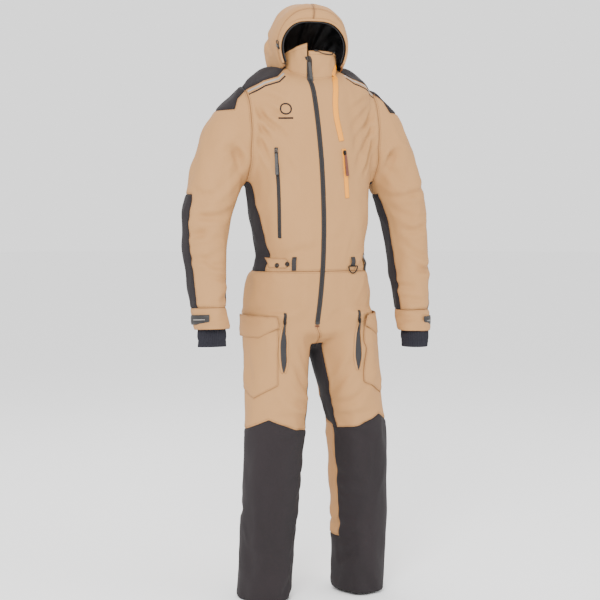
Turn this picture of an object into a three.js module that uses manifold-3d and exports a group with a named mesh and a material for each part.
// A hooded one-piece shell suit, standing open and filled out as it is when someone wears it.
// The suit faces -Y, its wearer's right hand is on -X, and +Z is up. All sizes are millimetres.
// Heights are written above the lowest hem; the last lines move the whole suit so that the
// origin is the middle of the neck seam, where the wearer's shoulders carry it.
import * as THREE from "three";
import { mergeVertices } from "three/addons/utils/BufferGeometryUtils.js";
import Module from "manifold-3d";

const wasm = await Module();
wasm.setup();

// ---- driving dimensions -------------------------------------------------------------------

const WALL = 5; // shell cloth, insulation and lining together
const SEAM = 0.4; // clearance between two panels sewn edge to edge
const NECK_HEIGHT = 1545;
const ARMHOLE_X = 205; // plane of the armhole seam, either side of the middle
const WAIST_HEIGHT = 990;

const CHEST = { halfWidth: 200, back: 138 };
const WAIST = { halfWidth: 186, back: 108 };
const HIP = { halfWidth: 204, back: 134 };
const COLLAR = { halfWidth: 92, halfDepth: 92, y: 2, frontHeight: 98, backHeight: 84 };
const HOOD = { halfWidth: 122, halfDepth: 138, height: 240 };
const THIGH = { halfWidth: 98, halfDepth: 112 };
const KNEE = { halfWidth: 92, halfDepth: 98 };
const HEM = { halfWidth: 80, halfDepth: 96 };
const UPPER_ARM = { halfWidth: 80, halfDepth: 78 };
const WRIST = { halfWidth: 57, halfDepth: 58 };
const KNIT_CUFF = { radius: 40, wall: 4, shown: 72, hidden: 42 };

const ZIP_TAPE = { width: 15, thick: 7 };
const SLIDER = { width: 11, thick: 5, length: 18, lift: 0.6 };
const PULL = { width: 9, thick: 2.4 };
const POCKET = { thick: 8, halfWidth: 70, top: 846, bottom: 640, tip: 614, turn: 57 };
const FLAP = { thick: 4, halfWidth: 73, top: 860, bottom: 794, corner: 826 };
const VENT = { x: 118, zipTop: 874, top: 832, bottom: 686, halfWidth: 12, sunk: 2 };
const BELT = { height: 1014, webbing: 3, lift: 9 };

// ---- materials ----------------------------------------------------------------------------

const cloth = (color, roughness = 0.8) =>
  new THREE.MeshStandardMaterial({ color, roughness, metalness: 0 });
const TAN = cloth(0xd0af8c);
const CHARCOAL = cloth(0x413a3e, 0.9);
const LINING = cloth(0x141317, 0.7);
const KNIT = cloth(0x23222c, 0.95);
const ORANGE = cloth(0xf0a038, 0.6);
const RUST = cloth(0x7a2f16, 0.5);
const BLACK_PLASTIC = cloth(0x2a2624, 0.45);
const DARK_METAL = new THREE.MeshStandardMaterial({ color: 0x3a302c, roughness: 0.4, metalness: 0.6 });

// ---- solids from geometries ---------------------------------------------------------------

function solid(geometry) {
  const plain = geometry.clone();
  plain.deleteAttribute("normal");
  plain.deleteAttribute("uv");
  const merged = mergeVertices(plain, 1e-4);
  const mesh = {
    numProp: 3,
    vertProperties: Float32Array.from(merged.attributes.position.array),
    triVerts: Uint32Array.from(merged.index.array),
  };
  const made = new wasm.Manifold(new wasm.Mesh(mesh));
  if (made.volume() > 0) return made;
  mesh.triVerts.reverse(); // a form drawn downwards comes out inside out
  return new wasm.Manifold(new wasm.Mesh(mesh));
}

function geometryOf(body) {
  const mesh = body.getMesh();
  const geometry = new THREE.BufferGeometry();
  geometry.setAttribute("position", new THREE.BufferAttribute(mesh.vertProperties, 3));
  geometry.setIndex(new THREE.BufferAttribute(mesh.triVerts, 1));
  geometry.computeVertexNormals();
  return geometry;
}

const suit = new THREE.Group();
suit.name = "suit";

// A cut can leave a thread of cloth beyond a seam: only the piece itself is kept.
function largest(body) {
  return body.decompose().reduce((most, one) => (one.volume() > most.volume() ? one : most));
}

// Fewer facets where the shape allows it; a piece that would change its volume stays as it is.
function lighter(body) {
  const light = body.simplify(0.05);
  return Math.abs(light.volume() / body.volume() - 1) < 0.003 ? light : body;
}

function piece(name, whole, material) {
  const body = lighter(largest(whole));
  const mesh = new THREE.Mesh(geometryOf(body), material);
  mesh.name = name;
  suit.add(mesh);
  return body;
}

const vec = (x, y, z) => new THREE.Vector3(x, y, z);
const smooth = (points) => new THREE.CatmullRomCurve3(points, false, "catmullrom", 0.5);

// A closed tube along a path. Each station is [x, y, z, half width, half depth, squareness].
// Level tubes keep every section horizontal; the others turn with the path.
function limb(stations, level) {
  return {
    level,
    path: smooth(stations.map(([x, y, z]) => vec(x, y, z))),
    sizes: smooth(stations.map(([, , , width, depth, square]) => vec(width, depth, square))),
  };
}

function sectionOf(tube, t) {
  const centre = tube.path.getPoint(t);
  const size = tube.sizes.getPoint(t);
  if (tube.level) return { centre, size, across: vec(1, 0, 0), deep: vec(0, 1, 0) };
  const along = tube.path.getTangent(t);
  const deep = vec(0, 1, 0).addScaledVector(along, -along.y).normalize();
  return { centre, size, across: vec(0, 0, 0).crossVectors(deep, along), deep };
}

function pointOn(tube, t, angle, grow = 0, share = 1) {
  const { centre, size, across, deep } = sectionOf(tube, t);
  const bend = (v) => Math.sign(v) * Math.abs(v) ** (2 / size.z);
  return centre
    .addScaledVector(across, share * (size.x + grow) * bend(Math.cos(angle)))
    .addScaledVector(deep, share * (size.y + grow) * bend(Math.sin(angle)));
}

function limbSolid(tube, { grow = 0, from = 0, to = 1, around = 24, along = 12 } = {}) {
  const geometry = new THREE.CylinderGeometry(1, 1, 1, around, along);
  const place = geometry.attributes.position;
  for (let i = 0; i < place.count; i += 1) {
    const share = Math.hypot(place.getX(i), place.getZ(i));
    const angle = share > 0.5 ? Math.atan2(place.getX(i), place.getZ(i)) : 0;
    const t = from + (to - from) * (place.getY(i) + 0.5);
    const p = pointOn(tube, t, angle, grow, share > 0.5 ? 1 : 0);
    place.setXYZ(i, p.x, p.y, p.z);
  }
  return solid(geometry);
}

// ---- cutters ------------------------------------------------------------------------------

const FAR = 900;

// Moves every edge of an outline outwards by a distance; the outline runs anticlockwise.
function offset(outline, distance) {
  return outline.map(([x, y], i) => {
    const [ax, ay] = outline[(i + outline.length - 1) % outline.length];
    const [bx, by] = outline[(i + 1) % outline.length];
    const first = new THREE.Vector2(y - ay, ax - x).normalize();
    const second = new THREE.Vector2(by - y, x - bx).normalize();
    const corner = first.clone().add(second);
    const scale = distance / Math.max(0.3, corner.dot(first));
    return [x + corner.x * scale, y + corner.y * scale];
  });
}

// A prism with an outline in the plane facing an axis, long enough to pass right through.
function prism(axis, outline, grow = 0, low = -FAR, high = FAR) {
  const flat = THREE.ShapeUtils.area(outline.map(([x, y]) => new THREE.Vector2(x, y))) > 0
    ? outline
    : [...outline].reverse();
  const shape = new THREE.Shape(offset(flat, grow).map(([x, y]) => new THREE.Vector2(x, y)));
  const geometry = new THREE.ExtrudeGeometry(shape, { depth: high - low, bevelEnabled: false });
  geometry.translate(0, 0, low);
  if (axis === "x") geometry.applyMatrix4(new THREE.Matrix4().makeBasis(vec(0, 1, 0), vec(0, 0, 1),
    vec(1, 0, 0)));
  if (axis === "y") geometry.applyMatrix4(new THREE.Matrix4().makeBasis(vec(1, 0, 0), vec(0, 0, 1),
    vec(0, -1, 0)));
  return solid(geometry);
}

function block([x0, y0, z0], [x1, y1, z1]) {
  const geometry = new THREE.BoxGeometry(x1 - x0, y1 - y0, z1 - z0);
  geometry.translate((x0 + x1) / 2, (y0 + y1) / 2, (z0 + z1) / 2);
  return solid(geometry);
}

// Parts a shell along the edge of a prism: [what lies inside it, what lies outside it].
function part(shell, axis, outline, low, high) {
  return [
    shell.intersect(prism(axis, outline, -SEAM / 2, low, high)),
    shell.subtract(prism(axis, outline, SEAM / 2, low, high)),
  ];
}

const above = (z) => block([-FAR, -FAR, z + SEAM / 2], [FAR, FAR, 2 * FAR]);
const below = (z) => block([-FAR, -FAR, -FAR], [FAR, FAR, z - SEAM / 2]);
const mirrored = (outline) => outline.map(([x, y]) => [-x, y]);

// ---- the main zip's line ------------------------------------------------------------------

// The circle through three points, and the turn about its axis that carries the first point
// down to the last. Every zip lies on such an arc, so its slider can run along it.
function arcThrough(top, middle, bottom) {
  const a = middle.clone().sub(top);
  const b = bottom.clone().sub(top);
  const axis = a.clone().cross(b);
  const toCentre = b.clone().cross(axis).multiplyScalar(a.lengthSq());
  toCentre.addScaledVector(a.clone().cross(axis), -b.lengthSq());
  toCentre.divideScalar(2 * axis.lengthSq());
  const centre = top.clone().add(toCentre);
  const from = top.clone().sub(centre);
  const to = bottom.clone().sub(centre);
  const turn = 2 * Math.asin(from.distanceTo(to) / 2 / from.length());
  return { centre, axis: axis.normalize(), from, turn, radius: from.length() };
}

const onArc = (arc, angle) => arc.from.clone().applyAxisAngle(arc.axis, angle).add(arc.centre);

const MAIN_ZIP = arcThrough(vec(-38, -94, 1622), vec(-8, -150, 1180), vec(-16, -124, 838));

function mainZipAt(z) {
  let [low, high] = [0, MAIN_ZIP.turn];
  for (let i = 0; i < 40; i += 1) {
    const middle = (low + high) / 2;
    if (onArc(MAIN_ZIP, middle).z > z) low = middle;
    else high = middle;
  }
  return onArc(MAIN_ZIP, low);
}

// ---- the forms of the body ----------------------------------------------------------------

// Up to the collar the front of the body follows the main zip.
function bodyStation(z, halfWidth, back, square, front = mainZipAt(z).y + 2) {
  return [0, (front + back) / 2, z, halfWidth, (back - front) / 2, square];
}

const TORSO = limb(
  [
    bodyStation(748, 40, 40, 2, -40),
    bodyStation(768, 120, 92, 2, -84),
    bodyStation(806, HIP.halfWidth - 8, 122, 2.2, -112),
    bodyStation(890, HIP.halfWidth, HIP.back, 2.3),
    bodyStation(WAIST_HEIGHT, WAIST.halfWidth, WAIST.back, 2.3),
    bodyStation(1090, WAIST.halfWidth + 4, WAIST.back + 10, 2.3),
    bodyStation(1240, CHEST.halfWidth - 2, CHEST.back - 6, 2.4),
    bodyStation(1390, CHEST.halfWidth, CHEST.back, 2.3),
    bodyStation(1480, CHEST.halfWidth + 8, CHEST.back - 10, 2.1),
    bodyStation(1535, CHEST.halfWidth + 4, CHEST.back - 22, 2),
    bodyStation(1568, 176, 100, 2, -76),
    bodyStation(1596, 132, 84, 2, -48),
    bodyStation(1612, 84, 62, 2, -24),
    bodyStation(1618, 30, 40, 2, -4),
  ],
  true,
);

function sectionAt(tube, z) {
  let [low, high] = [0, 1];
  const rising = tube.path.getPoint(1).z > tube.path.getPoint(0).z;
  for (let i = 0; i < 40; i += 1) {
    const middle = (low + high) / 2;
    if (tube.path.getPoint(middle).z < z === rising) low = middle;
    else high = middle;
  }
  return low;
}

// The point on the front of a level tube at a given x and z, and the way it faces there.
function frontOf(tube, x, z) {
  const { centre, size } = sectionOf(tube, sectionAt(tube, z));
  const reach = Math.min(0.999, Math.abs(x - centre.x) / size.x);
  return vec(x, centre.y - size.y * (1 - reach ** size.z) ** (1 / size.z), z);
}

function facing(tube, x, z) {
  const STEP = 4;
  const sideways = frontOf(tube, x + STEP, z).sub(frontOf(tube, x - STEP, z));
  const upwards = frontOf(tube, x, z + STEP).sub(frontOf(tube, x, z - STEP));
  return sideways.cross(upwards).normalize();
}

// The sleeves hang a little forward of the body. The right hand is higher and further forward.
function sleeve(side, hand) {
  const bow = (share, x, y, z, width, depth) => [
    side * (x + share * hand.out),
    y - share * hand.forward,
    z + share * hand.lift,
    width,
    depth,
    2.1,
  ];
  return limb(
    [
      bow(0, 120, 12, 1458, 96, 84),
      bow(0, 196, 10, 1425, 108, 88),
      bow(0, 242, 8, 1370, 90, 86),
      bow(0, 290, 6, 1264, 82, 82),
      bow(0.1, 320, 4, 1166, UPPER_ARM.halfWidth - 3, UPPER_ARM.halfDepth - 2),
      bow(0.3, 332, 0, 1070, 69, 72),
      bow(0.6, 334, -12, 978, 62, 65),
      bow(0.8, 334, -34, 888, WRIST.halfWidth, WRIST.halfDepth + 1),
      bow(1, 333, -62, 796, WRIST.halfWidth, WRIST.halfDepth),
    ],
    false,
  );
}

const SIDES = [
  {
    name: "right",
    side: -1,
    arm: sleeve(-1, { out: 4, forward: 30, lift: 18 }),
    leg: { thigh: -101, knee: [-114, -18, 508], ankle: [-134, -10, 180], hem: [-145, -4, 0] },
  },
  {
    name: "left",
    side: 1,
    arm: sleeve(1, { out: -4, forward: 6, lift: -10 }),
    leg: { thigh: 122, knee: [157, -16, 496], ankle: [168, -12, 180], hem: [158, -20, 6] },
  },
];

function legStations(side, { thigh, knee, ankle, hem }) {
  const shin = [(knee[0] + ankle[0]) / 2, (knee[1] + ankle[1]) / 2 - 4, (knee[2] + ankle[2]) / 2];
  return [
    [side * 100, 4, 880, 96, 118, 2.1],
    [(side * 106 + thigh) / 2, 2, 780, 102, 117, 2.1],
    [thigh, -2, 690, THIGH.halfWidth + 2, THIGH.halfDepth, 2.1],
    [(thigh + knee[0]) / 2, knee[1] / 2, 600, THIGH.halfWidth - 2, THIGH.halfDepth - 8, 2.1],
    [...knee, KNEE.halfWidth, KNEE.halfDepth, 2.1],
    [...shin, (KNEE.halfWidth + HEM.halfWidth) / 2, KNEE.halfDepth - 3, 2.1],
    [...ankle, HEM.halfWidth + 2, HEM.halfDepth - 2, 2.1],
    [...hem, HEM.halfWidth, HEM.halfDepth, 2.1],
  ];
}

for (const one of SIDES) {
  one.legStations = legStations(one.side, one.leg);
  one.legTube = limb(one.legStations, true);
}

const COLLAR_TUBE = limb(
  [
    [0, COLLAR.y, 1500, COLLAR.halfWidth + 2, COLLAR.halfDepth + 4, 2.1],
    [0, COLLAR.y, NECK_HEIGHT, COLLAR.halfWidth, COLLAR.halfDepth, 2.1],
    [0, COLLAR.y, 1590, COLLAR.halfWidth - 4, COLLAR.halfDepth - 4, 2.1],
    [0, COLLAR.y, 1660, COLLAR.halfWidth - 6, COLLAR.halfDepth - 9, 2.1],
  ],
  true,
);

const HOOD_TUBE = limb(
  [
    [0, 22, 1545, HOOD.halfWidth - 10, HOOD.halfDepth - 16, 2.1],
    [0, 18, 1600, HOOD.halfWidth - 2, HOOD.halfDepth - 4, 2.1],
    [0, 12, 1645, HOOD.halfWidth, HOOD.halfDepth, 2.1],
    [0, 6, 1700, HOOD.halfWidth - 6, HOOD.halfDepth, 2.2],
    [0, 2, 1742, HOOD.halfWidth - 28, HOOD.halfDepth - 16, 2.2],
    [0, 2, 1768, HOOD.halfWidth - 60, HOOD.halfDepth - 46, 2.1],
    [0, 4, NECK_HEIGHT + HOOD.height, 12, 14, 2],
  ],
  true,
);

// ---- shells -------------------------------------------------------------------------------

// The inner form of a level tube also stops short at both ends, so that the shoulders and the
// crotch keep their wall.
function inner(tube, ends = 0) {
  const heights = tube.path.points.map((p) => p.z);
  const [low, high] = [Math.min(...heights), Math.max(...heights)];
  const shrunk = {
    level: tube.level,
    sizes: tube.sizes,
    path: smooth(
      tube.path.points.map((p) =>
        vec(p.x, p.y, p.z + ends * (1 - (2 * (p.z - low)) / (high - low))),
      ),
    ),
  };
  return shrunk;
}

const BODY_GRID = { around: 24, along: 18 };
const LEG_GRID = { around: 16, along: 10 };
const ARM_GRID = { around: 16, along: 12 };
const END = 30; // how far a cutting tube runs past an open end

function extended(tube, stations) {
  const last = stations[stations.length - 1];
  const before = stations[stations.length - 2];
  const run = vec(last[0] - before[0], last[1] - before[1], last[2] - before[2]);
  run.setLength(END / Math.abs(tube.level ? run.z / run.length() : 1));
  return limb([...stations, [last[0] + run.x, last[1] + run.y, last[2] + run.z, ...last.slice(3)]],
    tube.level);
}

const armStations = (tube) =>
  tube.path.points.map((p, i) => [...p.toArray(), ...tube.sizes.points[i].toArray()]);

for (const one of SIDES) {
  one.armOuter = limbSolid(one.arm, ARM_GRID);
  one.armInner = limbSolid(extended(one.arm, armStations(one.arm)),
    { ...ARM_GRID, grow: -WALL, along: 14 });
  one.legOuter = limbSolid(one.legTube, LEG_GRID);
  one.legInner = limbSolid(extended(one.legTube, one.legStations), { ...LEG_GRID, grow: -WALL, along: 12 });
}

const [RIGHT, LEFT] = SIDES;
const torsoOuter = limbSolid(TORSO, BODY_GRID);
const torsoInner = limbSolid(inner(TORSO, WALL), { ...BODY_GRID, grow: -WALL });
const collarOuter = limbSolid(COLLAR_TUBE, { around: 28, along: 4 });
const collarInner = limbSolid(extended(COLLAR_TUBE, armStations(COLLAR_TUBE)),
  { around: 28, along: 5, grow: -4 });

const bodyOuter = SIDES.reduce((sum, one) => sum.add(one.armOuter).add(one.legOuter), torsoOuter);
const bodyInner = SIDES.reduce((sum, one) => sum.add(one.armInner).add(one.legInner), torsoInner);
const beyondArmholes = SIDES.map(({ side }) =>
  block(side < 0 ? [-FAR, -FAR, 1150] : [ARMHOLE_X, -FAR, 1150], side < 0 ? [-ARMHOLE_X, FAR,
    FAR * 2] : [FAR, FAR, FAR * 2]),
);
const bodyShell = beyondArmholes
  .reduce((shell, cut) => shell.subtract(cut), bodyOuter.subtract(bodyInner))
  .subtract(collarInner)
  .intersect(
    beyondArmholes.reduce((shell, cut) => shell.subtract(cut), torsoOuter)
      .add(RIGHT.legOuter)
      .add(LEFT.legOuter)
      .add(RIGHT.armOuter.intersect(block([-ARMHOLE_X, -FAR, 1150], [0, FAR, FAR * 2])))
      .add(LEFT.armOuter.intersect(block([0, -FAR, 1150], [ARMHOLE_X, FAR, FAR * 2]))),
  );

// ---- zips ---------------------------------------------------------------------------------

// A bar bent along an arc. Its profile is placed against the arc's own frame: across the zip
// and outwards from the cloth. Angles are measured down from the top stop.
function bar(arc, out, { width, thick, low = -thick / 2, from, to, steps }) {
  const geometry = new THREE.BoxGeometry(1, 1, 1, 1, 1, steps);
  const place = geometry.attributes.position;
  const down = arc.axis.clone().cross(arc.from).normalize();
  const outward = out.clone().addScaledVector(down, -out.dot(down)).normalize();
  const across = outward.clone().cross(down);
  for (let i = 0; i < place.count; i += 1) {
    const angle = from + (to - from) * (place.getZ(i) + 0.5);
    const offsetHere = across
      .clone()
      .multiplyScalar(width * place.getX(i))
      .addScaledVector(outward, low + thick * (place.getY(i) + 0.5))
      .applyAxisAngle(arc.axis, angle);
    const p = onArc(arc, angle).add(offsetHere);
    place.setXYZ(i, p.x, p.y, p.z);
  }
  return solid(geometry);
}

const slots = []; // what the zips take out of the panels
const zipParts = []; // made once the panels are cut

// A zip: its tape with the closed chain, a slider just above it and the pull that hangs from
// the slider. The slider starts a little below the top stop.
function zip(name, arc, out, { tape, slider, pull, pullLength = 0, tapeWidth = ZIP_TAPE.width,
  low = false }) {
  const length = arc.radius * arc.turn;
  const per = arc.turn / length; // radians per millimetre along the zip
  const steps = Math.max(2, Math.round(length / 90));
  const strip = { width: tapeWidth, thick: ZIP_TAPE.thick, from: 0, to: arc.turn, steps };
  slots.push(
    bar(arc, out, {
      ...strip,
      width: strip.width + 2 * SEAM,
      thick: 6 * strip.thick,
      from: -SEAM * per,
      to: arc.turn + SEAM * per,
    }),
  );
  zipParts.push([`${name}_tape`, bar(arc, out, strip), tape]);
  if (!pullLength) return;
  const top = low ? arc.turn - (SLIDER.length + 3) * per : 3 * per;
  const floor = ZIP_TAPE.thick / 2 + SLIDER.lift;
  const runner = { width: SLIDER.width, thick: SLIDER.thick, low: floor, from: top,
    to: top + SLIDER.length * per, steps: 1 };
  const tab = {
    width: PULL.width,
    thick: PULL.thick,
    low: floor + SLIDER.thick + 0.8,
    from: top + SLIDER.length * 0.35 * per,
    to: top + (SLIDER.length * 0.35 + pullLength) * per,
    steps: 1,
  };
  const small = low && bar(arc, out, { ...runner, width: 4, thick: SLIDER.thick + 1 }).add(bar(arc, out,
    tab));
  zipParts.push([`${name}_slider`, small ? small.add(bar(arc, out, runner)) : bar(arc, out, runner),
    slider]);
  if (!low) zipParts.push([`${name}_pull`, bar(arc, out, tab), pull]);
}

// An arc on the front of a level tube through two points, bulging with the cloth between them.
function zipOn(tube, [x0, z0], [x1, z1]) {
  const [top, bottom] = [frontOf(tube, x0, z0), frontOf(tube, x1, z1)];
  const middle = frontOf(tube, (x0 + x1) / 2, (z0 + z1) / 2);
  return arcThrough(top, middle, bottom);
}

zip("main_zip", MAIN_ZIP, vec(-0.12, -1, 0.2), {
  tape: CHARCOAL,
  slider: DARK_METAL,
  pull: BLACK_PLASTIC,
  pullLength: 66,
});
zip("right_chest_zip", zipOn(TORSO, [-143, 1352], [-138, 1088]), facing(TORSO, -141, 1352), {
  tape: CHARCOAL,
  slider: DARK_METAL,
  pull: BLACK_PLASTIC,
  pullLength: 62,
});
zip("left_chest_zip", zipOn(TORSO, [62, 1350], [72, 1206]), facing(TORSO, 66, 1350), {
  tape: ORANGE,
  slider: DARK_METAL,
  pull: RUST,
  pullLength: 62,
});
zip("neck_vent_zip", arcThrough(vec(71, -62, 1598), vec(43, -102, 1514), vec(56, -136, 1374)),
  vec(0.42, -0.86, 0.25), {
  tape: ORANGE,
  tapeWidth: 17,
});
for (const one of SIDES) {
  const x = one.side * VENT.x;
  const top = bodyFront(one, x, VENT.zipTop);
  const middle = bodyFront(one, x, (VENT.zipTop + VENT.top) / 2);
  const arc = arcThrough(top, middle.add(vec(0, -0.5, 0)), bodyFront(one, x, VENT.top + 2));
  zip(`${one.name}_vent_zip`, arc, vec(0, -1, 0), {
    tape: CHARCOAL,
    slider: DARK_METAL,
    pull: BLACK_PLASTIC,
    pullLength: 46,
    tapeWidth: 10,
    low: true,
  });
}

// The front of the hips and thighs, whichever of the two stands further forward.
function bodyFront(one, x, z) {
  const points = [TORSO, one.legTube].map((tube) => frontOf(tube, x, z));
  return points[0].y < points[1].y ? points[0] : points[1];
}

const withSlots = (shell) => slots.reduce((left, slot) => left.subtract(slot), shell);

// ---- body panels --------------------------------------------------------------------------

// The yoke covers the top of the shoulder, seen from the front, down to a corner on the arm.
const YOKE = [
  [-86, 1640], [-86, 1594], [-116, 1584], [-160, 1566], [-204, 1538], [-236, 1508], [-252, 1474],
  [-420, 1464], [-420, 1640],
];
// The stretch side panel, seen from the side: narrow under the arm and wide at the waist.
const SIDE_PANEL = [
  [-36, 1262], [-64, 1150], [-84, WAIST_HEIGHT + 46], [-84, WAIST_HEIGHT], [66, WAIST_HEIGHT], [58, 1262],
];
const SIDE_FROM = 120; // nothing nearer the middle than this belongs to a side panel

const upper = withSlots(bodyShell.intersect(above(WAIST_HEIGHT)));
let rest = upper;
for (const { name, side } of SIDES) {
  const [yoke, afterYoke] = part(rest, "y", side < 0 ? YOKE : mirrored(YOKE));
  piece(`${name}_shoulder_yoke`, yoke, CHARCOAL);
  const span = side < 0 ? [-FAR, -SIDE_FROM] : [SIDE_FROM, FAR];
  const [panel, afterPanel] = part(afterYoke, "x", SIDE_PANEL, ...span);
  piece(`${name}_side_panel`, panel, CHARCOAL);
  rest = afterPanel;
}
// Front and back part over the shoulders and down the sides, in a plane a little behind the arms.
const SIDE_SEAM_Y = 30;
const frontHalf = rest.intersect(block([-FAR, -FAR, 0], [FAR, SIDE_SEAM_Y - SEAM / 2, 2 * FAR]));
piece("back_panel", rest.intersect(block([-FAR, SIDE_SEAM_Y + SEAM / 2, 0], [FAR, FAR, 2 * FAR])), TAN);
// The main zip's slot has already parted the right front from the left, up to the neck edge.
const zipLine = [
  [-FAR, 700], ...[0, 0.25, 0.5, 0.75, 1].map((share) => onArc(MAIN_ZIP,
  MAIN_ZIP.turn * (1 - share))).map((p) => [p.x, p.z]), [-FAR, 1622],
];
const [rightFront, leftFront] = part(frontHalf, "y", zipLine);
piece("right_front", rightFront, TAN);
piece("left_front", leftFront, TAN);

// ---- trousers -----------------------------------------------------------------------------

const leaf = (side) =>
  [
    [0, VENT.bottom], [0.75, VENT.bottom + 34], [1, VENT.bottom + 80], [0.8, VENT.top - 28],
    [0.25, VENT.top],
    [-0.25, VENT.top], [-0.6, VENT.top - 28], [-0.7, VENT.bottom + 80], [-0.5, VENT.bottom + 34],
  ].map(([share, z]) => [side * (VENT.x + share * VENT.halfWidth), z]);

const lower = SIDES.reduce(
  (shell, { side }) => shell.subtract(prism("y", leaf(side), SEAM, 0, FAR)),
  withSlots(bodyShell.intersect(below(WAIST_HEIGHT))),
);
const GUSSET = { halfWidth: 46, low: 610, high: 790, front: -18 };
const gussetOutline = [
  [-GUSSET.halfWidth, GUSSET.low], [GUSSET.halfWidth, GUSSET.low], [GUSSET.halfWidth, 720],
  [12, GUSSET.high], [-12, GUSSET.high], [-GUSSET.halfWidth, 720],
];
const gussetSpan = [-FAR, -GUSSET.front]; // the prism's own axis points to -Y
const [gusset, trousers] = part(lower, "y", gussetOutline, ...gussetSpan);
piece("crotch_gusset", gusset, CHARCOAL);

// The knee panel's top edge is a low gable whose ridge is turned out from the front.
const KNEE_TOP = { ridge: 552, eaves: 500, turnOut: 32 };
const CALF_START = 26; // how far behind the middle of the leg the tan back panel starts

function turned(body, degrees, x, y) {
  const mesh = body.getMesh();
  const geometry = new THREE.BufferGeometry();
  geometry.setAttribute("position", new THREE.BufferAttribute(mesh.vertProperties, 3));
  geometry.setIndex(new THREE.BufferAttribute(mesh.triVerts, 1));
  geometry.rotateZ(THREE.MathUtils.degToRad(degrees));
  geometry.translate(x, y, 0);
  return solid(geometry);
}

for (const { name, side, leg, legStations: stations } of SIDES) {
  const half = side < 0 ? block([-FAR, -FAR, -FAR], [-SEAM / 2, FAR, FAR * 2]) : block([SEAM / 2, -FAR,
    -FAR], [FAR, FAR, FAR * 2]);
  const whole = trousers.intersect(half);
  const gable = (grow) =>
    turned(
      prism("y", [[-200, -20], [200, -20], [200, KNEE_TOP.eaves - 40], [0, KNEE_TOP.ridge],
        [-200, KNEE_TOP.eaves - 40]], grow),
      side * KNEE_TOP.turnOut,
      leg.knee[0],
      leg.knee[1],
    );
  const shin = whole.intersect(gable(-SEAM / 2));
  const calf = [
    ...stations.filter(([, , z]) => z < 620).map(([, y, z]) => [y + CALF_START, z]),
    [stations[stations.length - 1][1] + CALF_START, -20], [400, -20], [400, 600],
  ];
  const [calfPanel, kneePanel] = part(shin, "x", calf);
  piece(`${name}_trouser`, whole.subtract(gable(SEAM / 2)), TAN);
  piece(`${name}_knee_panel`, kneePanel, CHARCOAL);
  piece(`${name}_calf_panel`, calfPanel, TAN);
}

// ---- sleeves ------------------------------------------------------------------------------

const CUFF_FROM = 0.935; // share of the sleeve's path where the cuff band starts
const ELBOW = [
  [22, 1222], [2, 1190], [2, 1000], [-14, 930], [-34, 880], [-60, 780], [-60, 700], [300, 700], [300, 1222],
];

for (const one of SIDES) {
  const { name, side, arm } = one;
  const outside = side < 0 ? block([-FAR, -FAR, 0],
    [-ARMHOLE_X - SEAM, FAR, 2 * FAR]) : block([ARMHOLE_X + SEAM, -FAR, 0], [FAR, FAR, 2 * FAR]);
  const bare = one.armOuter.subtract(one.armInner).intersect(outside);
  const end = limbSolid(arm, { ...ARM_GRID, grow: 12, from: CUFF_FROM - 0.001, along: 2 });
  const tube = bare.subtract(end);
  const [cap, afterCap] = part(tube, "y", side < 0 ? YOKE : mirrored(YOKE));
  const shift = arm.path.getPoint(0.8).y + 34;
  const [elbow, cloth] = part(afterCap, "x", ELBOW.map(([y, z]) => [y + (z < 1000 ? shift : 0), z]));
  piece(`${name}_sleeve_yoke`, cap, CHARCOAL);
  piece(`${name}_elbow_panel`, elbow, CHARCOAL);
  piece(`${name}_sleeve`, cloth, TAN);
  one.cuffBand = limbSolid(arm, { ...ARM_GRID, grow: 2, from: CUFF_FROM, along: 2 }).subtract(
    limbSolid(extended(arm, armStations(arm)), { ...ARM_GRID, grow: -WALL + 1, from: 0.7, along: 6 }),
  );
  piece(`${name}_cuff_band`, one.cuffBand, TAN);
}

// ---- knit cuffs ---------------------------------------------------------------------------

for (const { name, arm } of SIDES) {
  const end = arm.path.getPoint(1);
  const along = arm.path.getTangent(1);
  const reach = (d) => end.clone().addScaledVector(along, d);
  const { radius, shown, hidden, wall } = KNIT_CUFF;
  const inlet = WRIST.halfWidth - WALL - 1.5;
  const stations = [
    [-hidden, inlet, inlet], [-hidden * 0.6, inlet - 1, inlet - 1], [0, radius + 4, radius + 4],
    [shown * 0.5, radius, radius], [shown, radius - 2, radius - 2],
  ].map(([d, w, h]) => [...reach(d).toArray(), w, h, 2]);
  const sock = limb(stations, false);
  const open = limb([
    [...reach(-hidden - 10).toArray(), inlet, inlet, 2], ...stations, [...reach(shown + 10).toArray(),
    radius - 2, radius - 2, 2],
  ], false);
  const grid = { around: 18, along: 5 };
  piece(`${name}_knit_cuff`, limbSolid(sock, grid).subtract(limbSolid(open,
    { around: 18, along: 8, grow: -wall })), KNIT);
}

// ---- collar -------------------------------------------------------------------------------

const collarTop = [
  [-200, 1500], [200, 1500], [200, NECK_HEIGHT + COLLAR.backHeight],
  [40, NECK_HEIGHT + COLLAR.backHeight], [-96, NECK_HEIGHT + COLLAR.frontHeight],
  [-200, NECK_HEIGHT + COLLAR.frontHeight],
];
const collarFoot = limbSolid(TORSO, { ...BODY_GRID, grow: SEAM })
  .add(limbSolid(inner(TORSO, -SEAM), { ...BODY_GRID, grow: SEAM }));
const collarShell = withSlots(
  collarOuter.subtract(collarInner).subtract(collarFoot).intersect(prism("x",
    collarTop)).intersect(above(1530)),
);
const collarRight = collarShell.intersect(
  prism("y", [[-300, 1400], [-24, 1400], [-38, 1622], [-44, 1700], [-300, 1700]], -SEAM / 2, 0, FAR)
    .add(block([-300, 0, 1400], [-SEAM, 300, 1700])),
);
const collarLeft = collarShell.intersect(
  prism("y", [[300, 1700], [-44, 1700], [-38, 1622], [-24, 1400], [300, 1400]], -SEAM / 2, 0, FAR)
    .add(block([SEAM, 0, 1400], [300, 300, 1700])),
);
piece("right_collar", collarRight, TAN);
piece("left_collar", collarLeft, TAN);

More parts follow.
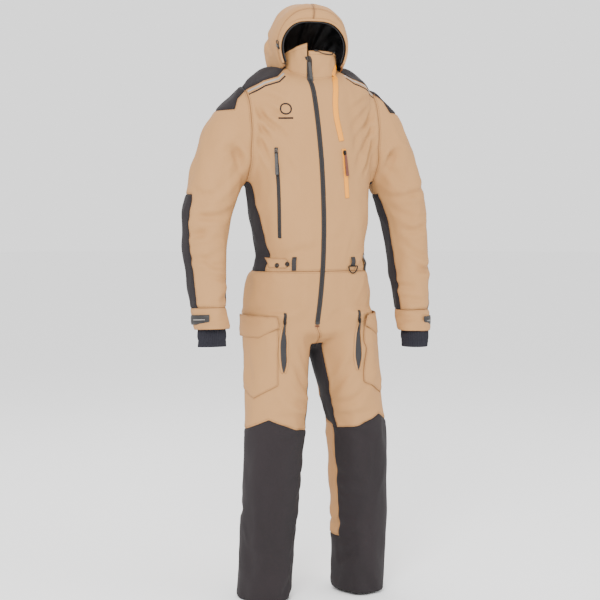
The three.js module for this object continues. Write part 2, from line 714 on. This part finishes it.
// ---- hood ---------------------------------------------------------------------------------

const HOOD_WALL = 3.5;
const LINING_WALL = 2.5;
const HOOD_FOOT = [
  [-300, 1900], [-300, 1636], [-96, 1636], [-66, 1612], [0, 1596], [70, 1582], [150, 1570], [300, 1570],
  [300, 1900],
];
// The face opening, seen from the front, and the wider outline of the brim round it.
const FACE = { halfWidth: 88, low: 1560, top: 1738 };
const BRIM = { halfWidth: 118, low: 1652, top: 1900 };

function arch({ halfWidth, low, top }, rise = halfWidth) {
  const shape = new THREE.Shape();
  shape.moveTo(-halfWidth, low);
  shape.lineTo(halfWidth, low);
  shape.lineTo(halfWidth, top - rise);
  shape.absellipse(0, top - rise, halfWidth, rise, 0, Math.PI, false);
  return shape.getPoints(8).slice(0, -1).map((p) => [p.x, p.y]);
}

const hoodClear = limbSolid(TORSO, { ...BODY_GRID, grow: 3 }).add(limbSolid(inner(TORSO, -3),
  { ...BODY_GRID, grow: 3 }));
const hoodForm = (grow) => limbSolid(inner(HOOD_TUBE, grow < 0 ? -grow : 0),
  { around: 24, along: 10, grow });
const hoodShape = (from, to) =>
  hoodForm(from)
    .subtract(hoodForm(to))
    .subtract(hoodClear)
    .intersect(prism("x", HOOD_FOOT));
const faceSpan = [0, FAR];
const shellOpen = hoodShape(0, -HOOD_WALL).subtract(prism("y", arch(FACE), 0, ...faceSpan));
const liningOpen = hoodShape(-HOOD_WALL - 0.5, -HOOD_WALL - 0.5 - LINING_WALL)
  .subtract(prism("y", arch(FACE), 4, ...faceSpan));
const brimFront = 66; // the brim reaches back this far from the hood's middle
const [brim, hoodCloth] = part(shellOpen, "x", [[-300, 1640], [-brimFront, 1640], [-brimFront + 30, 1900],
  [-300, 1900]]);
piece("hood_brim", brim, TAN);
piece("right_hood", hoodCloth.intersect(block([-FAR, -FAR, 0], [-SEAM / 2, FAR, 2 * FAR])), TAN);
piece("left_hood", hoodCloth.intersect(block([SEAM / 2, -FAR, 0], [FAR, FAR, 2 * FAR])), TAN);
piece("hood_lining", liningOpen, LINING);

// ---- pieces sewn on the outside -----------------------------------------------------------

const hips = (grow) =>
  SIDES.reduce((sum, one) => sum.add(limbSolid(one.legTube, { ...LEG_GRID, grow })),
    limbSolid(TORSO, { ...BODY_GRID, grow }));

// A patch that follows the body: what lies between two clearances above it, inside a window.
const sewn = (form, window, lift, thick) => form(lift + thick).intersect(window).subtract(form(lift));

for (const one of SIDES) {
  const { name, side } = one;
  const window = (outline) =>
    turned(prism("y", outline.map(([u, z]) => [-side * u, z]), 0, 0, FAR), side * POCKET.turn, side * 104,
      0);
  const pocket = window([
    [-POCKET.halfWidth, POCKET.top], [-POCKET.halfWidth, POCKET.bottom], [0, POCKET.tip],
    [POCKET.halfWidth, POCKET.bottom + 14], [POCKET.halfWidth, POCKET.top],
  ]);
  const flap = window([
    [-FLAP.halfWidth, FLAP.top], [-FLAP.halfWidth, FLAP.bottom], [20, FLAP.bottom],
    [FLAP.halfWidth, FLAP.corner], [FLAP.halfWidth, FLAP.top],
  ]);
  piece(`${name}_cargo_pocket`, sewn(hips, pocket, SEAM, POCKET.thick), TAN);
  piece(`${name}_cargo_flap`, sewn(hips, flap, SEAM + POCKET.thick + 0.8, FLAP.thick), TAN);
  const lined = hips(-VENT.sunk).subtract(torsoInner).subtract(one.legInner);
  piece(`${name}_vent_lining`, lined.intersect(prism("y", leaf(side), -SEAM, 0, FAR)), LINING);
}

const waist = (grow) => limbSolid(TORSO, { ...BODY_GRID, grow });
const plate = (x0, x1, z0, z1) => prism("y", [[x0, z0], [x1, z0], [x1, z1], [x0, z1]], 0, 0, FAR);

// A belt loop stands off the cloth between its two sewn ends.
function beltLoop(name, x, halfWidth) {
  const { height: z, webbing, lift } = BELT;
  const strap = sewn(waist, plate(x - halfWidth, x + halfWidth, z - 28, z + 28), SEAM, lift + webbing);
  const room = sewn(waist, plate(x - 40, x + 40, z - 22, z + 22), -1, lift + 1 + SEAM);
  piece(name, strap.subtract(room), CHARCOAL);
}
beltLoop("right_belt_loop", -98, 7);
beltLoop("left_belt_loop", 162, 8);

const TAB = { inner: -108, outer: -158, halfHeight: 11, lift: 1.4, thick: 3 };
piece(
  "waist_tab",
  sewn(waist, plate(TAB.outer, TAB.inner, BELT.height - TAB.halfHeight, BELT.height + TAB.halfHeight),
    TAB.lift, TAB.thick),
  TAN,
);
[-119, -145].forEach((x, i) => {
  const at = frontOf(TORSO, x, BELT.height).addScaledVector(facing(TORSO, x, BELT.height),
    TAB.lift + TAB.thick + 3);
  const head = new THREE.CylinderGeometry(6.5, 7.5, 3.2, 16);
  head.applyQuaternion(new THREE.Quaternion().setFromUnitVectors(vec(0, 1, 0),
    facing(TORSO, x, BELT.height)));
  head.translate(at.x, at.y, at.z);
  piece(`waist_snap_${i + 1}`, solid(head), DARK_METAL);
});

// The key ring: a D of wire whose bar lies in the fold of a short webbing.
const RING = { x: 92, z: 1006, wire: 2, halfWidth: 13, drop: 20 };
const ringAt = frontOf(TORSO, RING.x, RING.z).addScaledVector(facing(TORSO, RING.x, RING.z), 7);
const ringTurn = new THREE.Quaternion().setFromUnitVectors(vec(0, -1, 0),
  vec(...facing(TORSO, RING.x, RING.z).setZ(0).normalize()));
const placed = (geometry) => {
  geometry.applyQuaternion(ringTurn);
  geometry.translate(ringAt.x, ringAt.y, ringAt.z);
  return solid(geometry);
};
const ringPath = smooth([
  vec(-RING.halfWidth, 0, 0), vec(-RING.halfWidth, 0, -8), vec(-9, 0, -16), vec(0, 0, -RING.drop),
    vec(9, 0, -16),
  vec(RING.halfWidth, 0, -8), vec(RING.halfWidth, 0, 0),
]);
const wireSection = new THREE.Shape(
  Array.from({ length: 8 }, (_, i) => new THREE.Vector2(Math.cos(i * Math.PI / 4),
    Math.sin(i * Math.PI / 4)).multiplyScalar(RING.wire)),
);
const bow = placed(new THREE.ExtrudeGeometry(wireSection, { steps: 18, bevelEnabled: false,
  extrudePath: ringPath }));
const rod = new THREE.CylinderGeometry(RING.wire, RING.wire, 2 * RING.halfWidth + 3, 8);
rod.rotateZ(Math.PI / 2);
piece("key_ring", placed(rod).add(bow), DARK_METAL);
const fold = new THREE.BoxGeometry(18, 8, 34);
fold.translate(0, 0, 12);
const channel = new THREE.CylinderGeometry(RING.wire + 0.5, RING.wire + 0.5, 40, 12);
channel.rotateZ(Math.PI / 2);
piece("key_ring_webbing", placed(fold).subtract(placed(channel)).subtract(waist(SEAM)), CHARCOAL);

// Hook-and-loop tabs, each bent round the outside and the front of a cuff.
const CUFF_TAB = { width: 22, lift: 4.2, thick: 3, from: -0.18, to: 1.25 };

for (const { name, side, arm } of SIDES) {
  const { centre, size, across, deep } = sectionOf(arm, 0.965);
  const rim = (grow, share) => {
    const angle = CUFF_TAB.from + (CUFF_TAB.to - CUFF_TAB.from) * share;
    return new THREE.Vector2((size.x + grow) * Math.cos(angle), -(size.y + grow) * Math.sin(angle));
  };
  const shares = Array.from({ length: 11 }, (_, i) => i / 10);
  const outline = [
    ...shares.map((share) => rim(CUFF_TAB.lift + CUFF_TAB.thick, share)),
    ...shares.reverse().map((share) => rim(CUFF_TAB.lift, share)),
  ];
  const geometry = new THREE.ExtrudeGeometry(new THREE.Shape(outline),
    { depth: CUFF_TAB.width, bevelEnabled: false });
  geometry.translate(0, 0, -CUFF_TAB.width / 2);
  const outward = across.clone().multiplyScalar(Math.sign(across.x) * side);
  const along = outward.clone().cross(deep);
  geometry.applyMatrix4(new THREE.Matrix4().makeBasis(outward, deep, along).setPosition(centre));
  piece(`${name}_cuff_tab`, solid(geometry), BLACK_PLASTIC);
}

const toggle = new THREE.CylinderGeometry(5.5, 5.5, 17, 12);
toggle.rotateX(Math.PI / 2 - 0.3);
toggle.rotateX(Math.PI / 2);
toggle.translate(-118, -62, 1652);
piece("hood_cord_lock", solid(toggle), BLACK_PLASTIC);

// ---- export -------------------------------------------------------------------------------

for (const [name, body, material] of zipParts) piece(name, body, material);

const standing = new THREE.Group();
standing.add(suit);
suit.position.z = -NECK_HEIGHT;

export default standing;
